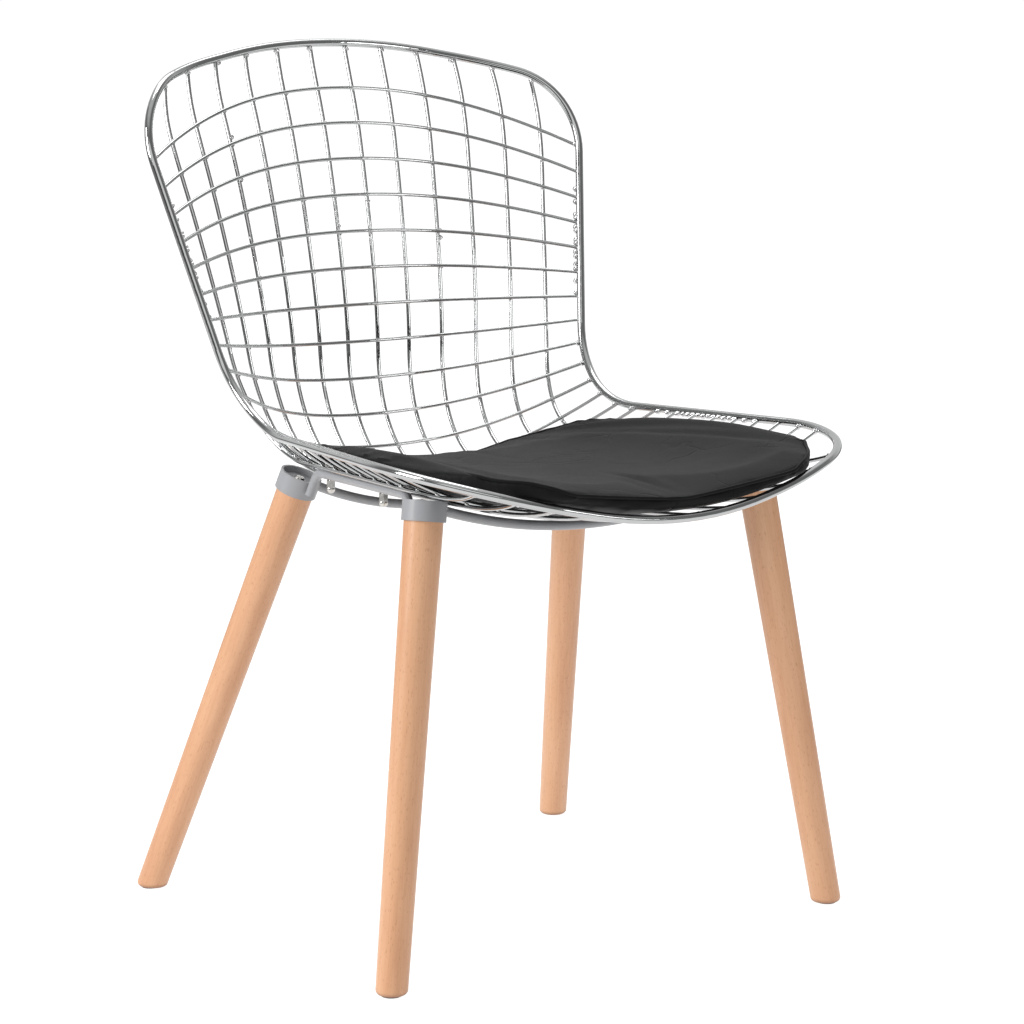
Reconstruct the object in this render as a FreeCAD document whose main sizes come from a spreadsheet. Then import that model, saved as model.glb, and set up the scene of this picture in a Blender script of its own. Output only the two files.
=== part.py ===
import FreeCAD, Part
import math
import os
import Sketcher

# Dining chair with a welded wire shell, a thin seat pad and four turned wooden legs.
# The floor is z = 0, the chair faces -Y, x = 0 is its middle plane and +Z is up.
# Right means the sitter's right, which is the -X side. All sizes are in millimetres.

V = FreeCAD.Vector
doc = FreeCAD.newDocument("wire_mesh_chair")
sheet = doc.addObject("Spreadsheet::Sheet", "sizes")

# name, value, what it measures
SIZES = [
    # rim rod: ten corners of the bent rod on one side, from the top of the back to the front edge
    ("rim_rod", 8.0, "diameter of the rod that closes the shell"),
    ("crown_half", 63.4, "top corner, distance from the middle plane"),
    ("crown_back", 288.4, "top corner, distance behind the origin"),
    ("crown_height", 824.2, "top corner, height"),
    ("brow_half", 177.0, "second corner, from the middle plane"),
    ("brow_back", 260.8, "second corner, behind the origin"),
    ("brow_height", 803.3, "second corner, height"),
    ("shoulder_half", 229.9, "shoulder corner, from the middle plane"),
    ("shoulder_back", 230.0, "shoulder corner, behind the origin"),
    ("shoulder_height", 787.5, "shoulder corner, height"),
    ("wing_half", 257.8, "widest corner of the back, from the middle plane"),
    ("wing_back", 207.0, "widest corner of the back, behind the origin"),
    ("wing_height", 739.9, "widest corner of the back, height"),
    ("waist_half", 209.9, "corner above the hip, from the middle plane"),
    ("waist_back", 138.0, "corner above the hip, behind the origin"),
    ("waist_height", 505.7, "corner above the hip, height"),
    ("hip_half", 201.7, "corner at the back of the seat side, from the middle plane"),
    ("hip_back", 81.3, "corner at the back of the seat side, behind the origin"),
    ("hip_height", 464.2, "corner at the back of the seat side, height"),
    ("thigh_half", 250.0, "widest corner of the seat, from the middle plane"),
    ("thigh_front", 182.4, "widest corner of the seat, before the origin"),
    ("thigh_height", 465.9, "widest corner of the seat, height"),
    ("knee_half", 222.0, "front corner of the seat, from the middle plane"),
    ("knee_front", 252.4, "front corner of the seat, before the origin"),
    ("knee_height", 455.1, "front corner of the seat, height"),
    ("dip_half", 146.7, "corner where the front edge dips, from the middle plane"),
    ("dip_front", 279.4, "corner where the front edge dips, before the origin"),
    ("dip_height", 434.6, "corner where the front edge dips, height"),
    ("front_half", 48.1, "front corner by the middle, from the middle plane"),
    ("front_edge", 290.7, "front corner by the middle, before the origin"),
    ("front_height", 414.0, "front corner by the middle, height"),
    # middle line of the shell, between the top and the front of the rim
    ("neck_back", 261.8, "upper corner of the middle line, behind the origin"),
    ("neck_height", 765.0, "upper corner of the middle line, height"),
    ("spine_back", 226.9, "corner at mid back, behind the origin"),
    ("spine_height", 591.0, "corner at mid back, height"),
    ("lumbar_back", 217.0, "corner low in the back, behind the origin"),
    ("lumbar_height", 462.1, "corner low in the back, height"),
    ("bend_back", 163.5, "corner where the back turns into the seat, behind the origin"),
    ("bend_height", 401.5, "corner where the back turns into the seat, height"),
    ("lip_front", 207.6, "corner near the front of the seat, before the origin"),
    ("lip_height", 409.5, "corner near the front of the seat, height"),
    # wires of the shell
    ("cross_wire", 3.5, "diameter of the wires that run from side to side"),
    ("long_wire", 4.0, "diameter of the wires that run from top to front"),
    ("cross_count", 23.0, "number of wires from side to side"),
    ("long_count", 12.0, "number of wires from top to front"),
    ("weld_sink", 0.3, "how far crossing wires are pressed together"),
    ("first_drop", 324.0, "rim length from the middle of the top to the first cross wire"),
    ("last_run", 294.0, "rim length from the middle of the front to the last cross wire"),
    ("first_centre", 48.1, "middle line length from the top to the first cross wire"),
    ("last_centre", 107.0, "middle line length from the front to the last cross wire"),
    ("back_pitch", 36.4, "first spacing of the cross wires on the middle line of the back"),
    ("back_gain", 0.1, "how much that spacing grows from wire to wire"),
    ("side_pitch", 27.97, "first spacing of the cross wires on the rim of the back"),
    ("side_gain", -0.56, "how much that spacing grows from wire to wire"),
    ("back_rows", 12.0, "number of cross wires with the spacing of the back"),
    ("back_power", 2.14, "how late the back curls forward towards its sides"),
    ("seat_power", 2.5, "how late the seat curls up towards its sides"),
    ("bend_rows", 4.0, "number of rows over which one curl changes into the other"),
    ("long_reach", 0.979, "share of the half width over which the long wires are spread"),
    ("seat_reach", 0.93, "how much of that spread they keep in the seat"),
    ("edge_crowding", 0.051, "how much the outer long wires draw in"),
    ("top_spread", 251.0, "half width over which the long wires end at the top"),
    ("front_spread", 236.0, "half width over which the long wires end at the front"),
    # legs, cups and screws
    ("leg_top", 35.5, "diameter of a leg inside its cup"),
    ("leg_foot", 28.5, "diameter of a leg at the floor"),
    ("foot_round", 4.5, "rounding of the foot's edge"),
    ("front_foot_half", 254.8, "front foot, from the middle plane"),
    ("front_foot", 198.2, "front foot, before the origin"),
    ("rear_foot_half", 248.3, "rear foot, from the middle plane"),
    ("rear_foot", 237.2, "rear foot, behind the origin"),
    ("front_cup_half", 190.5, "front cup, from the middle plane"),
    ("front_cup", 159.0, "front cup, before the origin"),
    ("front_cup_height", 421.0, "middle of the front cup, height"),
    ("rear_cup_half", 163.3, "rear cup, from the middle plane"),
    ("rear_cup", 91.3, "rear cup, behind the origin"),
    ("rear_cup_height", 413.8, "middle of the rear cup, height"),
    ("cup_wall", 2.1, "wall of a cup"),
    ("cup_fit", 0.2, "gap between leg and cup wall"),
    ("cup_length", 18.5, "length of a cup"),
    ("web_depth", 6.0, "depth of the cup's web below its open top"),
    ("web_plate", 2.0, "thickness of the cup's web"),
    ("glide_disc", 18.0, "diameter of the floor glide"),
    ("glide_length", 4.0, "length of the floor glide"),
    ("glide_proud", 1.0, "how far the glide stands out of the foot"),
    ("glide_fit", 0.1, "gap round the glide"),
    ("screw_head", 11.0, "head diameter of the leg screw"),
    ("screw_head_height", 3.0, "head height of the leg screw"),
    ("screw_shank", 5.0, "shank diameter of the leg screw"),
    ("screw_length", 40.0, "shank length of the leg screw"),
    ("screw_fit", 0.15, "gap round the shank"),
    # base rods and the clamps between base and shell
    ("base_rod", 9.0, "diameter of the base rods"),
    ("bar_bend", 13.0, "bend radius at the ends of a side bar"),
    ("bar_gap", 0.4, "gap between side bar and shell"),
    ("front_bow_sag", 27.5, "how far the middle of the front cross bar hangs below its ends"),
    ("rear_bow_sag", 31.0, "how far the middle of the rear cross bar hangs below its ends"),
    ("front_bow_drop", 1.0, "ends of the front cross bar below the middle of the cups"),
    ("rear_bow_drop", 3.0, "ends of the rear cross bar below the middle of the cups"),
    ("rear_clamp", 37.0, "rear clamps, behind the origin"),
    ("front_clamp", 85.0, "front clamps, before the origin"),
    ("hook_rod", 5.0, "diameter of the hook bolts"),
    ("hook_fit", 0.3, "gap between a hook bolt and what it passes"),
    ("nut_flats", 7.6, "width across the flats of an acorn nut"),
    ("nut_hex", 8.5, "height of the hexagon of an acorn nut"),
    ("nut_dome", 8.2, "diameter of the dome of an acorn nut"),
    # seat pad
    ("pad_thickness", 21.5, "top of the pad above the middle of the cross wires"),
    ("pad_fit", 0.7, "gap between the pad and what it lies on"),
    ("pad_seam", 5.5, "top seam inside the pad's widest line"),
    ("pad_tuck", 3.0, "lower edge inside the pad's widest line"),
    ("pad_crown", 4.0, "extra height of the pad's top on the middle line"),
    ("pad_roll", 4.5, "how much the pad's front and rear edges thin above and below"),
    ("pad_front", 294.0, "front end of the pad, before the origin"),
    ("pad_front_half", 128.0, "half width of the pad at its front end"),
    ("pad_front_run", 12.0, "length of the front edge's roll"),
    ("pad_front_flare", 1.18, "how much wider the pad is before that roll"),
]
size = {}
for line, (alias, value, meaning) in enumerate(SIZES, start=1):
    sheet.set("A%d" % line, alias)
    sheet.set("B%d" % line, str(value))
    sheet.set("C%d" % line, meaning)
    sheet.setAlias("B%d" % line, alias)
doc.recompute()
for alias, value, meaning in SIZES:
    size[alias] = float(sheet.get(alias))

parts = []
X_AXIS = V(1, 0, 0)
Z_AXIS = V(0, 0, 1)
# smallest turn of an arc, in radians, and smallest length that counts
STRAIGHT = 1e-4
CLOSE = 1e-6


def unit(vector):
    return vector * (1.0 / vector.Length)


def flipped(point):
    return V(-point.x, point.y, point.z)


class Stretch:
    """One line or arc that leaves start along heading and ends at finish."""

    def __init__(self, start, heading, finish):
        chord = finish - start
        self.start = start
        self.heading = heading
        self.finish = finish
        self.turn = 2.0 * heading.getAngle(chord)
        self.length = chord.Length
        if self.turn > STRAIGHT:
            self.radius = chord.Length / (2.0 * math.sin(self.turn / 2.0))
            self.length = self.radius * self.turn
            self.inward = unit(chord - heading * chord.dot(heading))

    def point(self, run):
        if self.turn <= STRAIGHT:
            return self.start + self.heading * run
        angle = run / self.radius
        along = self.heading * (self.radius * math.sin(angle))
        return self.start + along + self.inward * (self.radius * (1.0 - math.cos(angle)))

    def end_heading(self):
        if self.turn <= STRAIGHT:
            return self.heading
        return self.heading * math.cos(self.turn) + self.inward * math.sin(self.turn)

    def edge(self):
        if self.turn <= STRAIGHT:
            return Part.LineSegment(self.start, self.finish).toShape()
        return Part.Arc(self.start, self.point(self.length / 2.0), self.finish).toShape()


class Route:
    """A smooth run of lines and arcs."""

    def __init__(self, stretches):
        self.stretches = [item for item in stretches if item.length > CLOSE]
        self.length = sum(item.length for item in self.stretches)

    def point(self, run):
        for item in self.stretches:
            if run <= item.length:
                return item.point(run)
            run = run - item.length
        last = self.stretches[-1]
        return last.finish + last.end_heading() * run

    def wire(self):
        return Part.Wire([item.edge() for item in self.stretches])

    def mirrored(self):
        """The route on the other side, run the other way."""
        back = []
        for item in reversed(self.stretches):
            heading = item.end_heading() * -1.0
            back.append(Stretch(flipped(item.finish), flipped(heading), flipped(item.start)))
        return back


def rounded(corners, radius=None):
    """Straight runs joined by arcs. Without a radius each arc takes half of its shorter run."""
    runs = [(b - a).Length for a, b in zip(corners, corners[1:])]
    shares = [run / 2.0 for run in runs]
    shares[0] = runs[0]
    shares[-1] = runs[-1]
    stretches = []
    start = corners[0]
    for index in range(1, len(corners) - 1):
        before = unit(corners[index] - corners[index - 1])
        after = unit(corners[index + 1] - corners[index])
        reach = min(shares[index - 1], shares[index])
        if radius is not None:
            reach = radius * math.tan(before.getAngle(after) / 2.0)
        arc_start = corners[index] - before * reach
        arc_end = corners[index] + after * reach
        stretches.append(Stretch(start, before, arc_start))
        stretches.append(Stretch(arc_start, before, arc_end))
        start = arc_end
    stretches.append(Stretch(start, unit(corners[-1] - corners[-2]), corners[-1]))
    return Route(stretches)


def joined(first, second):
    """Two arcs between two stations, each a point with its heading."""
    start, leaving = first
    finish, arriving = second
    chord = finish - start
    across = chord.dot(leaving + arriving)
    spread = 2.0 * (1.0 - leaving.dot(arriving))
    if spread < CLOSE:
        reach = chord.dot(chord) / (2.0 * across)
    else:
        reach = (math.sqrt(across * across + spread * chord.dot(chord)) - across) / spread
    middle = (start + finish + (leaving - arriving) * reach) * 0.5
    opening = Stretch(start, leaving, middle)
    return [opening, Stretch(middle, opening.end_heading(), finish)]


def through(stations):
    stretches = []
    for first, second in zip(stations, stations[1:]):
        stretches = stretches + joined(first, second)
    return Route(stretches)


def rod(stretches, diameter):
    """A round rod along a chain of stretches."""
    wire = Part.Wire([item.edge() for item in stretches])
    first = stretches[0]
    ring = Part.Wire(Part.Circle(first.start, first.heading, diameter / 2.0).toShape())
    return wire.makePipeShell([ring], True, False)


def feature(name, shape, placement=None):
    item = doc.addObject("Part::Feature", name)
    item.Label = name
    item.Shape = shape
    if placement is not None:
        item.Placement = placement
    return item


def kept(item, name):
    """Marks an object as a sub-part under its own name."""
    item.Label = name
    parts.append(item)
    return item


def bound(item, **sizes):
    for prop, expression in sizes.items():
        item.setExpression(prop, expression)
    return item


# rim rod: half of it is laid out, the other half is its mirror image
def rim_corner(name, depth):
    return V(size[name + "_half"], depth, size[name + "_height"])


rim_corners = [
    rim_corner("crown", size["crown_back"]),
    rim_corner("brow", size["brow_back"]),
    rim_corner("shoulder", size["shoulder_back"]),
    rim_corner("wing", size["wing_back"]),
    rim_corner("waist", size["waist_back"]),
    rim_corner("hip", size["hip_back"]),
    rim_corner("thigh", -size["thigh_front"]),
    rim_corner("knee", -size["knee_front"]),
    rim_corner("dip", -size["dip_front"]),
    rim_corner("front", -size["front_edge"]),
]
rim_top = V(0, size["crown_back"], size["crown_height"])
rim_front = V(0, -size["front_edge"], size["front_height"])
rim = rounded([rim_top] + rim_corners + [rim_front])
rim_radius = size["rim_rod"] / 2.0
kept(feature("rim_rod", rod(rim.stretches + rim.mirrored(), size["rim_rod"])), "rim_rod")

# shell surface: each row is a flat curve from the middle line out to the rim on both sides
spine = rounded([
    rim_top,
    V(0, size["neck_back"], size["neck_height"]),
    V(0, size["spine_back"], size["spine_height"]),
    V(0, size["lumbar_back"], size["lumbar_height"]),
    V(0, size["bend_back"], size["bend_height"]),
    V(0, -size["lip_front"], size["lip_height"]),
    rim_front,
])
rows = int(size["cross_count"])
back_rows = size["back_rows"]
STEP = 0.05


def row_run(row, first, pitch, gain, last):
    """Length along a route up to a row: spaced by pitch and gain in the back, evenly in the seat."""
    steps = min(row, back_rows) - 1
    run = first + pitch * steps + gain * steps * (steps - 1) / 2.0
    if row <= back_rows:
        return run
    return run + (last - run) * (row - back_rows) / (rows - back_rows)


def row_end(row):
    last = rim.length - size["last_run"]
    return rim.point(row_run(row, size["first_drop"], size["side_pitch"], size["side_gain"], last))


def row_middle(row):
    last = spine.length - size["last_centre"]
    return spine.point(
        row_run(row, size["first_centre"], size["back_pitch"], size["back_gain"], last))


def seat_blend(row):
    """0 in the back, 1 in the seat, in between over the rows of the bend."""
    blend = (row - back_rows - 1.0) / size["bend_rows"] + 1.0
    return min(max(blend, 0.0), 1.0)


def row_power(row):
    """How late a row curls up to the rim."""
    return size["back_power"] + (size["seat_power"] - size["back_power"]) * seat_blend(row)


def shell(row, share):
    """Point of the shell on a row, at a share of the way out to the rim."""
    middle = row_middle(row)
    end = row_end(row)
    rise = V(0, end.y - middle.y, end.z - middle.z) * abs(share) ** row_power(row)
    return middle + rise + X_AXIS * (share * end.x)


def row_heading(row, share):
    return unit(shell(row, share + STEP / 10.0) - shell(row, share - STEP / 10.0))


def shell_normal(row, share):
    """Square to the shell, towards the sitter."""
    along = shell(row + STEP, share) - shell(row - STEP, share)
    return unit(along.cross(row_heading(row, share)))


# cross wires end on the rim's surface
cross_radius = size["cross_wire"] / 2.0
long_radius = size["long_wire"] / 2.0


def short_of_rim(point, heading, along_rim):
    """Moves an end point back along its wire to the surface of the rim rod."""
    lean = math.sin(heading.getAngle(along_rim))
    return point - heading * ((rim_radius - size["weld_sink"]) / lean)


def cross_route(row):
    stations = [(shell(row, share), row_heading(row, share)) for share in (0.0, 0.5, 0.8)]
    end = row_end(row)
    heading = row_heading(row, 1.0)
    along_rim = row_end(row + STEP) - row_end(row - STEP)
    stations.append((short_of_rim(end, heading, along_rim), heading))
    half = through(stations)
    return half.mirrored() + half.stretches


for row in range(1, rows + 1):
    name = "cross_wire_%02d" % row
    kept(feature(name, rod(cross_route(row), size["cross_wire"])), name)

# long wires lie behind and below the cross wires and end on the rim at the top and the front
wire_step = cross_radius + long_radius - size["weld_sink"]


def long_share(number):
    """Share of the half width, signed, of one long wire counted from the right."""
    place = (2.0 * number - 1.0) / size["long_count"] - 1.0
    return (place - math.copysign(size["edge_crowding"] * place ** 4, place)) * size["long_reach"]


def below(row, share):
    """Middle of a long wire under a row."""
    share = share * (1.0 - (1.0 - size["seat_reach"]) * seat_blend(row))
    return shell(row, share) - shell_normal(row, share) * wire_step


def below_heading(row, share):
    return unit(below(row + STEP, share) - below(row - STEP, share))


def rim_at(half, low, high):
    """Point of the rim at a distance from the middle plane, between two lengths along it."""
    rising = rim.point(high).x > rim.point(low).x
    for attempt in range(50):
        middle = (low + high) / 2.0
        if (rim.point(middle).x < half) == rising:
            low = middle
        else:
            high = middle
    return rim.point(low), rim.point(low + 1.0) - rim.point(low - 1.0)


def widest(low, high):
    """Length along the rim at which it is widest, between two lengths."""
    count = 400
    runs = [low + (high - low) * index / count for index in range(count + 1)]
    return max(runs, key=lambda run: rim.point(run).x)


back_widest = widest(0.0, size["first_drop"] * 1.2)
seat_widest = widest(rim.length - size["last_run"] * 1.3, rim.length)
LONG_ROWS = (1, 4, 7, back_rows - 2.5, back_rows - 1, back_rows + 0.5, back_rows + 3, back_rows + 7, rows)


def long_route(share):
    half = abs(share)
    stations = [(below(row, half), below_heading(row, half)) for row in LONG_ROWS]
    top, along_top = rim_at(half * size["top_spread"], 0.0, back_widest)
    front, along_front = rim_at(half * size["front_spread"], seat_widest, rim.length)
    first, leaving = stations[0]
    opening = Stretch(first, leaving * -1.0, top)
    opening = Stretch(first, leaving * -1.0, short_of_rim(top, opening.end_heading(), along_top))
    last, arriving = stations[-1]
    closing = Stretch(last, arriving, front)
    closing = Stretch(last, arriving, short_of_rim(front, closing.end_heading(), along_front))
    start = Stretch(opening.finish, opening.end_heading() * -1.0, first)
    route = Route([start] + through(stations).stretches + [closing])
    if share < 0:
        return route.mirrored()
    return route.stretches


for number in range(1, int(size["long_count"]) + 1):
    name = "long_wire_%02d" % number
    kept(feature(name, rod(long_route(long_share(number)), size["long_wire"])), name)

# base: leg axes, cups, side bars under the shell and bowed cross bars
cup_bore = size["leg_top"] / 2.0 + size["cup_fit"]
cup_radius = cup_bore + size["cup_wall"]
bar_radius = size["base_rod"] / 2.0


def row_at(half, depth):
    """Row and share at which the shell passes a plan position on the left."""
    low, high = back_rows, rows + 3.0
    for attempt in range(40):
        middle = (low + high) / 2.0
        share = half / row_end(middle).x
        if shell(middle, share).y > depth:
            low = middle
        else:
            high = middle
    return low, half / row_end(low).x


def bar_height(half, depth):
    """Height of a rod along Y whose top touches the undersides of the cross wires."""
    row, share = row_at(half, depth)
    reach = cross_radius + bar_radius + size["bar_gap"]
    return shell(row, share).z - reach / shell_normal(row, share).z


class Corner:
    """One leg with its cup: the axis runs up from the foot on the floor."""

    def __init__(self, name, foot, cup):
        self.name = name
        self.foot = foot
        self.cup = cup
        self.axis = unit(self.cup - self.foot)
        inward = V(0, -math.copysign(1.0, cup.y), 0)
        facing = unit(inward - self.axis * inward.dot(self.axis))
        self.beside = self.foot + facing * (cup_radius + bar_radius - size["weld_sink"] / 2.0)
        self.middle = (self.cup - self.foot).Length
        self.turn = FreeCAD.Rotation(Z_AXIS, self.axis)

    def place(self, along, side):
        """Placement on the axis at a distance from the foot, for the left or the right side."""
        base = self.foot + self.axis * along
        turn = self.turn
        if side == "right":
            base = flipped(base)
            turn = FreeCAD.Rotation(Z_AXIS, flipped(self.axis))
        return FreeCAD.Placement(base, turn)

    def bar_end(self, height):
        """Point at a height on the end of a side bar that runs down the facing wall of the cup."""
        return self.beside + self.axis * ((height - self.beside.z) / self.axis.z)


front_corner = Corner(
    "front", V(size["front_foot_half"], -size["front_foot"], 0),
    V(size["front_cup_half"], -size["front_cup"], size["front_cup_height"]))
rear_corner = Corner(
    "rear", V(size["rear_foot_half"], size["rear_foot"], 0),
    V(size["rear_cup_half"], size["rear_cup"], size["rear_cup_height"]))
rear_bend = rear_corner.bar_end(size["rear_cup_height"])
front_bend = front_corner.bar_end(size["front_cup_height"])


def bar_point(depth):
    """Point of a side bar's straight run between its two bends."""
    run = front_bend - rear_bend
    return rear_bend + run * ((depth - rear_bend.y) / run.y)


# the straight run is raised until the shell lies on it at both clamps
for attempt in range(4):
    rear_rest = bar_point(size["rear_clamp"])
    front_rest = bar_point(-size["front_clamp"])
    rear_rest.z = bar_height(rear_rest.x, rear_rest.y)
    front_rest.z = bar_height(front_rest.x, front_rest.y)
    rise = (front_rest.z - rear_rest.z) / (front_rest.y - rear_rest.y)
    rear_bend = rear_corner.bar_end(rear_rest.z + rise * (rear_bend.y - rear_rest.y))
    front_bend = front_corner.bar_end(rear_rest.z + rise * (front_bend.y - rear_rest.y))


def turned(name, outline):
    """A turned body: a sketch of half its section, each corner bound to the sheet, revolved."""
    body = doc.addObject("PartDesign::Body", name)
    sketch = body.newObject("Sketcher::SketchObject", name + "_section")
    plane = [item for item in body.Origin.OriginFeatures if item.Role == "XZ_Plane"][0]
    sketch.AttachmentSupport = (plane, "")
    sketch.MapMode = "FlatFace"
    corners = []
    for across, along in outline:
        corners.append(V(sketch.evalExpression(across), sketch.evalExpression(along), 0))
    count = len(corners)
    for index in range(count):
        line = Part.LineSegment(corners[index], corners[(index + 1) % count])
        sketch.addGeometry(line, False)
    for index in range(count):
        sketch.addConstraint(
            Sketcher.Constraint("Coincident", index, 2, (index + 1) % count, 1))
    for index, (across, along) in enumerate(outline):
        if corners[index].x < CLOSE:
            sketch.addConstraint(Sketcher.Constraint("PointOnObject", index, 1, -2))
        else:
            number = sketch.addConstraint(
                Sketcher.Constraint("DistanceX", -1, 1, index, 1, corners[index].x))
            sketch.setExpression("Constraints[%d]" % number, across)
        if corners[index].y < CLOSE:
            sketch.addConstraint(Sketcher.Constraint("PointOnObject", index, 1, -1))
        else:
            number = sketch.addConstraint(
                Sketcher.Constraint("DistanceY", -1, 1, index, 1, corners[index].y))
            sketch.setExpression("Constraints[%d]" % number, along)
    turning = body.newObject("PartDesign::Revolution", name + "_turned")
    turning.Profile = sketch
    turning.ReferenceAxis = (sketch, ["V_Axis"])
    turning.Angle = 360
    body.Tip = turning
    sketch.Visibility = False
    return body


CUP_OUTLINE = [
    ("sizes.screw_shank / 2 + sizes.screw_fit", "sizes.cup_length - sizes.web_depth - sizes.web_plate"),
    ("sizes.leg_top / 2 + sizes.cup_fit", "sizes.cup_length - sizes.web_depth - sizes.web_plate"),
    ("sizes.leg_top / 2 + sizes.cup_fit", "0"),
    ("sizes.leg_top / 2 + sizes.cup_fit + sizes.cup_wall", "0"),
    ("sizes.leg_top / 2 + sizes.cup_fit + sizes.cup_wall", "sizes.cup_length"),
    ("sizes.leg_top / 2 + sizes.cup_fit", "sizes.cup_length"),
    ("sizes.leg_top / 2 + sizes.cup_fit", "sizes.cup_length - sizes.web_depth"),
    ("sizes.screw_shank / 2 + sizes.screw_fit", "sizes.cup_length - sizes.web_depth"),
]
SCREW_OUTLINE = [
    ("0", "0"),
    ("sizes.screw_shank / 2", "0"),
    ("sizes.screw_shank / 2", "sizes.screw_length"),
    ("sizes.screw_head / 2", "sizes.screw_length"),
    ("sizes.screw_head / 2", "sizes.screw_length + sizes.screw_head_height / 2"),
    ("sizes.screw_head / 3", "sizes.screw_length + sizes.screw_head_height"),
    ("0", "sizes.screw_length + sizes.screw_head_height"),
]
half_cup = size["cup_length"] / 2.0
web_under = half_cup - size["web_depth"] - size["web_plate"]
screws = []


def leg(corner, side):
    """A tapered leg, sawn level at the floor, with its foot edge rounded and its holes drilled."""
    name = "leg_%s_%s" % (corner.name, side)
    top = corner.middle + web_under
    below_floor = size["leg_foot"]
    cone = doc.addObject("Part::Cone", name + "_taper")
    bound(cone, Radius1="sizes.leg_foot / 2", Radius2="sizes.leg_top / 2")
    cone.Height = top + below_floor
    cone.Placement = corner.place(-below_floor, side)
    floor = doc.addObject("Part::Box", name + "_floor")
    room = 4.0 * size["leg_foot"] + below_floor
    floor.Length = room
    floor.Width = room
    floor.Height = room
    foot = corner.place(0.0, side).Base
    floor.Placement.Base = foot + V(-room / 2.0, -room / 2.0, size["glide_proud"] - room)
    sawn = doc.addObject("Part::Cut", name + "_sawn")
    sawn.Base = cone
    sawn.Tool = floor
    doc.recompute()
    edges = sawn.Shape.Edges
    sole = min(range(len(edges)), key=lambda index: edges[index].BoundBox.ZMax)
    eased = doc.addObject("Part::Fillet", name + "_eased")
    eased.Base = sawn
    eased.Edges = [(sole + 1, size["foot_round"], size["foot_round"])]
    pilot = doc.addObject("Part::Cylinder", name + "_pilot")
    bound(pilot, Radius="sizes.screw_shank / 2 + sizes.screw_fit", Height="sizes.screw_length")
    pilot.Placement = corner.place(top - size["screw_length"] + size["web_plate"] - size["screw_fit"], side)
    seat = doc.addObject("Part::Cylinder", name + "_glide_seat")
    bound(seat, Radius="sizes.glide_disc / 2 + sizes.glide_fit", Height="sizes.glide_length")
    seat.Placement.Base = foot
    drills = doc.addObject("Part::MultiFuse", name + "_drills")
    drills.Shapes = [pilot, seat]
    drilled = doc.addObject("Part::Cut", name)
    drilled.Base = eased
    drilled.Tool = drills
    kept(drilled, name)


def corner_pieces(corner, side):
    tail = "_%s_%s" % (corner.name, side)
    cup = turned("leg_cup" + tail, CUP_OUTLINE)
    cup.Placement = corner.place(corner.middle - half_cup, side)
    kept(cup, "leg_cup" + tail)
    leg(corner, side)
    screw = turned("leg_screw" + tail, SCREW_OUTLINE)
    head = corner.middle + half_cup - size["web_depth"]
    screw.Placement = corner.place(head - size["screw_length"], side)
    screws.append(screw)
    glide = doc.addObject("Part::Cylinder", "glide" + tail)
    bound(glide, Radius="sizes.glide_disc / 2", Height="sizes.glide_length")
    glide.Placement.Base = corner.place(0.0, side).Base
    kept(glide, "glide" + tail)


for side in ("left", "right"):
    corner_pieces(front_corner, side)
    corner_pieces(rear_corner, side)
screw_set = doc.addObject("Part::Compound", "leg_screws")
screw_set.Links = screws
kept(screw_set, "leg_screws")


rear_low = rear_corner.bar_end(size["rear_cup_height"] - half_cup)
front_low = front_corner.bar_end(size["front_cup_height"] - half_cup)
side_bar = rounded([rear_low, rear_bend, front_bend, front_low], size["bar_bend"])

# hook bolts go up through the side bar and over one cross wire
hook_radius = size["hook_rod"] / 2.0


def clamp_spot(depth):
    """The cross wire whose one side is nearest to a depth, and the way from it to the bolt."""
    spots = []
    for row in range(int(back_rows) + 1, rows + 1):
        low, high = 0.3, 1.0
        for attempt in range(40):
            share = (low + high) / 2.0
            point = shell(row, share)
            if point.x < bar_point(point.y).x:
                low = share
            else:
                high = share
        lean = math.cos(math.asin(row_heading(row, share).z))
        reach = cross_radius / lean + hook_radius + size["hook_fit"]
        for side in (reach, -reach):
            spots.append((abs(point.y + side - depth), row, share, side))
    nearest, row, share, side = min(spots)
    return shell(row, share), side


def hook_route(depth):
    wire, side = clamp_spot(depth)
    under = bar_point(wire.y + side).z - bar_radius
    bottom = V(wire.x, wire.y + side, under - size["nut_hex"])
    shoulder = V(wire.x, wire.y + side, wire.z)
    crest = V(wire.x, wire.y, wire.z + abs(side))
    tip = V(wire.x, wire.y - side, wire.z)
    return [Stretch(bottom, Z_AXIS, shoulder), Stretch(shoulder, Z_AXIS, crest),
            Stretch(crest, V(0, -math.copysign(1.0, side), 0), tip)]


hook_routes = [hook_route(size["rear_clamp"]), hook_route(-size["front_clamp"])]


def nut(name, shank):
    """An acorn nut below the side bar: a hexagon with a domed end and a blind bore."""
    top = bar_point(shank.y).z - bar_radius
    hexagon = doc.addObject("Part::Prism", name + "_hexagon")
    hexagon.Polygon = 6
    bound(hexagon, Circumradius="sizes.nut_flats / 2 / cos(30)", Height="sizes.nut_hex")
    hexagon.Placement.Base = V(shank.x, shank.y, top - size["nut_hex"])
    dome = doc.addObject("Part::Sphere", name + "_dome")
    bound(dome, Radius="sizes.nut_dome / 2")
    dome.Placement.Base = V(shank.x, shank.y, top - size["nut_hex"])
    outside = doc.addObject("Part::MultiFuse", name + "_outside")
    outside.Shapes = [hexagon, dome]
    bore = doc.addObject("Part::Cylinder", name + "_bore")
    bound(bore, Radius="sizes.hook_rod / 2 + sizes.hook_fit / 2", Height="sizes.nut_hex * 2")
    bore.Placement.Base = V(shank.x, shank.y, top - size["nut_hex"] - size["hook_fit"])
    bored = doc.addObject("Part::Cut", name)
    bored.Base = outside
    bored.Tool = bore
    return bored


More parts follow.
